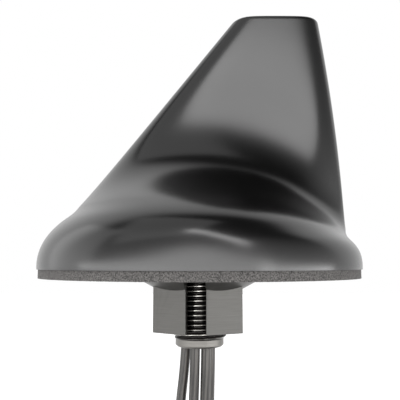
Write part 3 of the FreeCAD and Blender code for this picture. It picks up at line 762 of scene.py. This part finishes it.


# Jacket: dark grey plastic with streaks along the cable, partly the die's faint marks and partly painted
# sheen, light bands of painted highlight between darker ones.
DIE_AND_SHEEN_STREAK = 0.7 * mm
DIE_AND_SHEEN_RUN = 25 * mm
jacket, tree, shader, place = new_finish("grey_jacket_streaks_and_painted_sheen")
stretch = add_node(tree, "ShaderNodeMapping", {
    "Vector": place.node.outputs["UV"],
    "Scale": (LEAD_LENGTH / DIE_AND_SHEEN_RUN, 2 * math.pi * CABLE_RADIUS / DIE_AND_SHEEN_STREAK, 1),
})
streak = add_node(
    tree, "ShaderNodeTexNoise", {"Vector": stretch.outputs["Vector"], "Scale": 1.0, "Detail": 3}
)
# light and dark streaks: painted highlights and painted shade along the cable, over the die's faint marks
tint = add_node(tree, "ShaderNodeValToRGB", {"Fac": streak.outputs["Fac"]})
tint.color_ramp.elements[0].position = 0.4
tint.color_ramp.elements[0].color = linear("#121110")
tint.color_ramp.elements[1].position = 0.6
tint.color_ramp.elements[1].color = linear("#736f6b")
feed(tree, shader, {"Base Color": tint.outputs["Color"], "Roughness": 0.3})

# Shrunk sleeve: black polyolefin over the end of each cable, satin, with faint waves.
SLEEVE_WAVE = 1.5 * mm
sleeve_black, tree, shader, place = new_finish("shrunk_polyolefin")
wave = add_node(tree, "ShaderNodeTexNoise", {"Vector": place, "Scale": 1 / SLEEVE_WAVE, "Detail": 2})
waves = add_node(
    tree, "ShaderNodeBump", {"Height": wave.outputs["Fac"], "Strength": 0.3, "Distance": 0.1 * mm}
)
tint = add_node(tree, "ShaderNodeValToRGB", {"Fac": wave.outputs["Fac"]})
tint.color_ramp.elements[0].color = linear("#141414")
tint.color_ramp.elements[1].color = linear("#222221")
feed(tree, shader, {
    "Base Color": tint.outputs["Color"],
    "Roughness": 0.5,
    "Normal": waves.outputs["Normal"],
})
PLUG_EDGE = 0.2 * mm
on_lead = {}
for column, (letter, lead) in enumerate(LEADS.items()):
    x = HANK_FIRST + HANK_COLUMN * column
    back_x = x + HANK_STEP
    bore_x, bore_y = (value * mm for value in lead["bore"])
    hank_x, hank_y = (value * mm for value in lead["hank"])
    boot_low, boot_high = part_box(f"plug_boot_{letter}")
    plug_x, plug_y = (boot_low.x + boot_high.x) / 2, (boot_low.y + boot_high.y) / 2
    route = [
        (bore_x, bore_y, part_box(f"lead_{letter}")[1].z),
        (bore_x, bore_y, BORE_TURN),
        (hank_x, hank_y, hank_top),
        (x, HANK_FRONT, hank_middle),
        *fold(x, HANK_FRONT, HANK_BACK, hank_foot, 1),
        *fold(back_x, HANK_BACK, HANK_FRONT, hank_top, -1),
        (back_x, HANK_FRONT, hank_middle),
        (hank_x + HANK_STEP, hank_y, hank_foot),
        (plug_x, plug_y, TAIL_TURN),
        (plug_x, plug_y, boot_low.z),
    ]
    curve = bpy.data.curves.new(f"coax_{letter}", "CURVE")
    curve.dimensions = "3D"
    curve.resolution_u = 16
    curve.bevel_depth = CABLE_RADIUS
    curve.bevel_resolution = 6
    curve.use_fill_caps = True
    spline = curve.splines.new("NURBS")
    spline.points.add(len(route) - 1)
    for point, spot in zip(spline.points, route):
        point.co = (*spot, 1.0)
    spline.order_u = 3
    spline.use_endpoint_u = True
    curve.materials.append(jacket)
    cable = bpy.data.objects.new(f"coax_{letter}", curve)
    bpy.context.scene.collection.objects.link(cable)
    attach(cable, "root")
    stands_for = [f"lead_{letter}", f"tail_{letter}"]
    if letter == "a":
        stands_for.append("cable_hank")
    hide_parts(*stands_for)
    plug = edged(f"screw_plug_{letter}", f"plug_{letter}", gold_brass, PLUG_EDGE)
    sleeve = edged(f"sleeve_{letter}", f"plug_boot_{letter}", sleeve_black, PLUG_EDGE)
    on_lead[cable] = [plug, sleeve]

# Tie: a strap of woven tape that holds the hank together until the antenna is fitted. Its threads are
# drawn about twice as coarse as they are, so that the weave shows.
STRAP_THREAD = 1.2 * mm
strap_cloth, tree, shader, place = new_finish("woven_strap")
warp = add_node(tree, "ShaderNodeTexWave", {
    "Vector": place,
    "Scale": 1 / (STRAP_THREAD * WAVE_BANDS),
    "Distortion": 0.4,
}, bands_direction="Z")
weft = add_node(tree, "ShaderNodeTexWave", {
    "Vector": place,
    "Scale": 2 / (STRAP_THREAD * WAVE_BANDS),
    "Distortion": 0.4,
}, bands_direction="DIAGONAL")
cross = add_node(
    tree, "ShaderNodeMath", {0: warp.outputs["Fac"], 1: weft.outputs["Fac"]}, operation="MAXIMUM"
)
tint = add_node(tree, "ShaderNodeValToRGB", {"Fac": cross.outputs[0]})
tint.color_ramp.elements[0].color = linear("#0c0c0c")
tint.color_ramp.elements[1].color = linear("#2e2e2e")
raised = add_node(tree, "ShaderNodeBump", {"Height": cross.outputs[0], "Strength": 0.6, "Distance": 0.1 * mm})
feed(tree, shader, {
    "Base Color": tint.outputs["Color"],
    "Roughness": 0.85,
    "Normal": raised.outputs["Normal"],
})
STRAP_EDGE = 0.4 * mm
strap = edged("strap", "hank_tie", strap_cloth, STRAP_EDGE)
on_lead[bpy.data.objects["coax_a"]].append(strap)
for (cable, carried), lead in zip(on_lead.items(), LEADS.values()):
    bore_x, bore_y = (value * mm for value in lead["bore"])

# Floor: a pale sheet far enough below the plugs that the antenna hangs clear of it. For the camera and for
# shiny surfaces it glows white away from the antenna and weaker near it, a painted shade round the antenna in
# which its real shadow shows.
FLOOR_GAP = 2 * mm
FLOOR_HALF = 2.5
SHEET_GLOW = (0.7, 1.0)
SHEET_FADE = (0.15, 0.45)
floor_shape = bmesh.new()
floor_z = cad_box[0][2] - FLOOR_GAP
corners = [(-1, -1), (1, -1), (1, 1), (-1, 1)]
floor_shape.faces.new(
    [floor_shape.verts.new((x * FLOOR_HALF, y * FLOOR_HALF, floor_z)) for x, y in corners]
)
floor_mesh = bpy.data.meshes.new("floor")
floor_shape.to_mesh(floor_mesh)
floor_shape.free()
pale_sheet, tree, shader, place = new_finish("pale_sheet")
feed(tree, shader, {"Base Color": linear("#e6e6e6"), "Roughness": 0.9})
ray = add_node(tree, "ShaderNodeLightPath")
shiny = add_node(tree, "ShaderNodeMath", {
    0: ray.outputs["Is Glossy Ray"],
    1: ray.outputs["Is Transmission Ray"],
}, operation="MAXIMUM")
seen = add_node(
    tree, "ShaderNodeMath", {0: ray.outputs["Is Camera Ray"], 1: shiny.outputs[0]}, operation="MAXIMUM"
)
spread = add_node(tree, "ShaderNodeVectorMath", {0: place, 1: (1, 1, 0)}, operation="MULTIPLY")
away = add_node(tree, "ShaderNodeVectorMath", {0: spread.outputs["Vector"]}, operation="LENGTH")
# glow weaker near the antenna: a painted shade round it, where its real shadow shows
sheet_glow = add_node(tree, "ShaderNodeMapRange", {
    "Value": away.outputs["Value"],
    "From Min": SHEET_FADE[0],
    "From Max": SHEET_FADE[1],
    "To Min": SHEET_GLOW[0],
    "To Max": SHEET_GLOW[1],
})
bright = add_node(
    tree, "ShaderNodeEmission", {"Color": linear("#ffffff"), "Strength": sheet_glow.outputs["Result"]}
)
lit_sheet = add_node(tree, "ShaderNodeAddShader", {0: shader.outputs["BSDF"], 1: bright.outputs["Emission"]})
sheet_look = add_node(tree, "ShaderNodeMixShader", {
    0: seen.outputs[0],
    1: shader.outputs["BSDF"],
    2: lit_sheet.outputs["Shader"],
})
feed(tree, tree.nodes["Material Output"], {"Surface": sheet_look.outputs["Shader"]})
floor_mesh.materials.append(pale_sheet)
floor = bpy.data.objects.new("floor", floor_mesh)
bpy.context.scene.collection.objects.link(floor)

# Studio: a dim room, pale towards its horizon, with a white sweep behind the antenna. A softbox hangs
# tilted in front of the fin, two low banks light the foot, and two large weak boxes stand on the left,
# one of them high.
ROOM_GLOW = 0.05
HORIZON = (-0.2, 0.81)
SWEEP = (-0.08, 0.36)
AMBIENT = 0.2
FOOT_MIDDLE = 30 * mm
world = bpy.data.worlds.new("studio")
bpy.context.scene.world = world
world.use_nodes = True
tree = world.node_tree
toward = add_node(tree, "ShaderNodeTexCoord").outputs["Generated"]
compass = add_node(tree, "ShaderNodeSeparateXYZ", {0: toward})
room = add_node(tree, "ShaderNodeMapRange", {
    "Value": compass.outputs["Z"],
    "From Min": HORIZON[0],
    "From Max": HORIZON[1],
    "To Min": 1.0,
    "To Max": ROOM_GLOW,
}, interpolation_type="SMOOTHSTEP").outputs["Result"]
sweep = add_node(tree, "ShaderNodeMapRange", {
    "Value": compass.outputs["Y"],
    "From Min": SWEEP[0],
    "From Max": SWEEP[1],
    "To Min": 0.0,
    "To Max": 1.0,
}, interpolation_type="SMOOTHSTEP").outputs["Result"]
glow = add_node(tree, "ShaderNodeMath", {0: room, 1: sweep}, operation="MAXIMUM").outputs[0]
ray = add_node(tree, "ShaderNodeLightPath")
shiny = add_node(tree, "ShaderNodeMath", {
    0: ray.outputs["Is Glossy Ray"],
    1: ray.outputs["Is Transmission Ray"],
}, operation="MAXIMUM")
ambient = add_node(tree, "ShaderNodeBackground", {"Color": linear("#ffffff"), "Strength": AMBIENT})
mirrored = add_node(tree, "ShaderNodeBackground", {"Color": linear("#ffffff"), "Strength": glow})
white = add_node(tree, "ShaderNodeBackground", {"Color": linear("#ffffff"), "Strength": 1.0})
around = add_node(tree, "ShaderNodeMixShader", {
    0: shiny.outputs[0],
    1: ambient.outputs["Background"],
    2: mirrored.outputs["Background"],
})
surround = add_node(tree, "ShaderNodeMixShader", {
    0: ray.outputs["Is Camera Ray"],
    1: around.outputs["Shader"],
    2: white.outputs["Background"],
})
feed(tree, tree.nodes["World Output"], {"Surface": surround.outputs["Shader"]})


def softbox(name, azimuth, elevation, distance, width, height, power, roll=0):
    """Rectangular lamp seen from the foot at an azimuth and elevation, facing it, rolled about its axis."""
    light = bpy.data.lights.new(name, "AREA")
    light.shape = "RECTANGLE"
    light.size = width
    light.size_y = height
    light.energy = power
    turn, rise = math.radians(azimuth), math.radians(elevation)
    away = Vector((math.sin(turn) * math.cos(rise), -math.cos(turn) * math.cos(rise), math.sin(rise)))
    lamp = bpy.data.objects.new(name, light)
    lamp.location = away * distance + Vector((0, 0, FOOT_MIDDLE))
    rolled = Quaternion((0, 0, 1), math.radians(roll))
    lamp.rotation_euler = ((-away).to_track_quat("-Z", "Y") @ rolled).to_euler()
    bpy.context.scene.collection.objects.link(lamp)


softbox("front_box", azimuth=13, elevation=24, distance=0.9, width=0.73, height=0.16, power=1.7, roll=-26)
softbox("low_bank", azimuth=-18, elevation=-2.6, distance=1.0, width=4.5, height=0.142, power=8.8)
softbox("right_bank", azimuth=67, elevation=-5.6, distance=1.0, width=1.1, height=0.132, power=2.2)
softbox("side_box", azimuth=-96, elevation=18.5, distance=1.0, width=0.86, height=0.86, power=2.0)
softbox("high_box", azimuth=-32, elevation=48.5, distance=1.0, width=1.13, height=1.11, power=2.9)

# Camera: level with the foot and tilted up a little, as the photograph was taken.
CAMERA_SPOT = (0.13 * mm, -158.3 * mm, 3.9 * mm)
CAMERA_TILT = 6.8
CAMERA_LENS = 48.15
camera_data = bpy.data.cameras.new("camera")
camera_data.lens = CAMERA_LENS
camera_data.sensor_width = 36
camera_data.clip_start = 0.01
camera = bpy.data.objects.new("camera", camera_data)
camera.location = CAMERA_SPOT
camera.rotation_euler = (math.radians(90 + CAMERA_TILT), 0, 0)
bpy.context.scene.collection.objects.link(camera)
bpy.context.scene.camera = camera
bpy.context.scene.view_settings.view_transform = "Standard"
